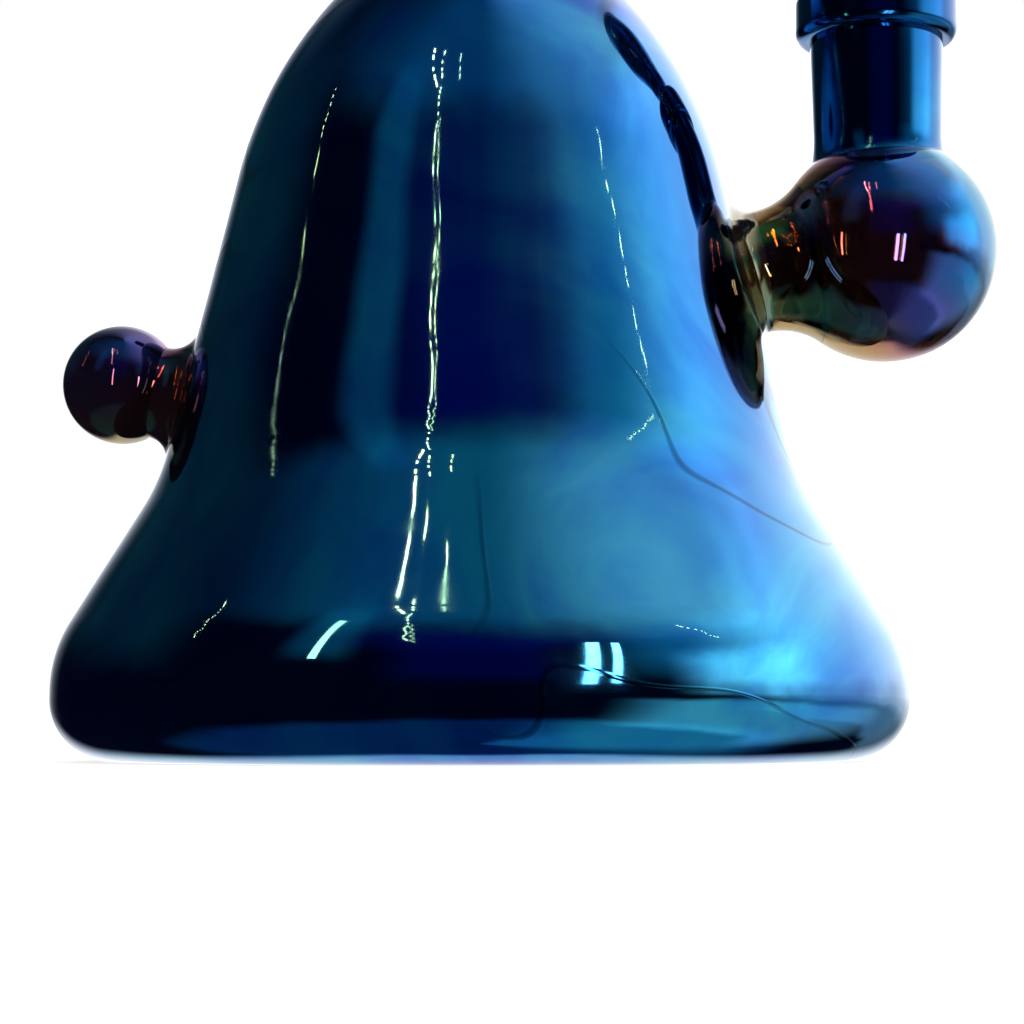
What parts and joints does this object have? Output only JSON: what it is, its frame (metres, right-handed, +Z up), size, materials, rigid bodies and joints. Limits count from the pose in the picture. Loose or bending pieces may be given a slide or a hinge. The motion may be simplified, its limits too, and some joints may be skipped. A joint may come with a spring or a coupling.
{
  "type": "bell-shaped glass water vessel",
  "caption": "Bell-shaped lustre glass water vessel with a bulbed side arm, a ground socket, a lift-out bowl, a grip ball and a straight neck.",
  "frame": {"origin": "centre of the flat base, on the bell's axis", "axes": "+Z up along the bell's axis, +X towards the side arm and its bulb, -X towards the grip ball"},
  "size_m": [0.1296, 0.116, 0.19],
  "materials": {
    "lustre_glass": "glossy metallic blue lustre on dark glass",
    "smoky_glass": "clear smoky amber glass with a blue and violet lustre",
    "socket_glass": "glossy navy lustre on dark glass, ground inside",
    "knob_glass": "solid black glass with a blue, violet and amber lustre",
    "inner_glass": "clear smoky glass, no lustre",
    "ground_glass": "ground matt glass",
    "bowl_glass": "glossy blue lustre glass"
  },
  "bodies": {
    "vessel": {"bell_body": "lustre_glass", "base_disc": "lustre_glass", "neck_collar": "lustre_glass", "neck_tube": "lustre_glass", "mouth_rim": "lustre_glass", "arm_foot": "smoky_glass", "arm_neck": "smoky_glass", "arm_bulb": "smoky_glass", "socket_tube": "socket_glass", "socket_rim": "socket_glass", "down_stem": "inner_glass", "diffuser": "inner_glass", "knob_foot": "knob_glass", "knob_ball": "knob_glass"},
    "bowl": {"bowl_plug": "ground_glass", "bowl_neck": "bowl_glass", "bowl_cup": "bowl_glass", "bowl_rim": "bowl_glass"}
  },
  "joints": [
    {"name": "bowl_lift", "type": "slide", "parent": "vessel", "child": "bowl", "axis": [0, 0, 1], "range_m": [0, 0.035]}
  ]
}
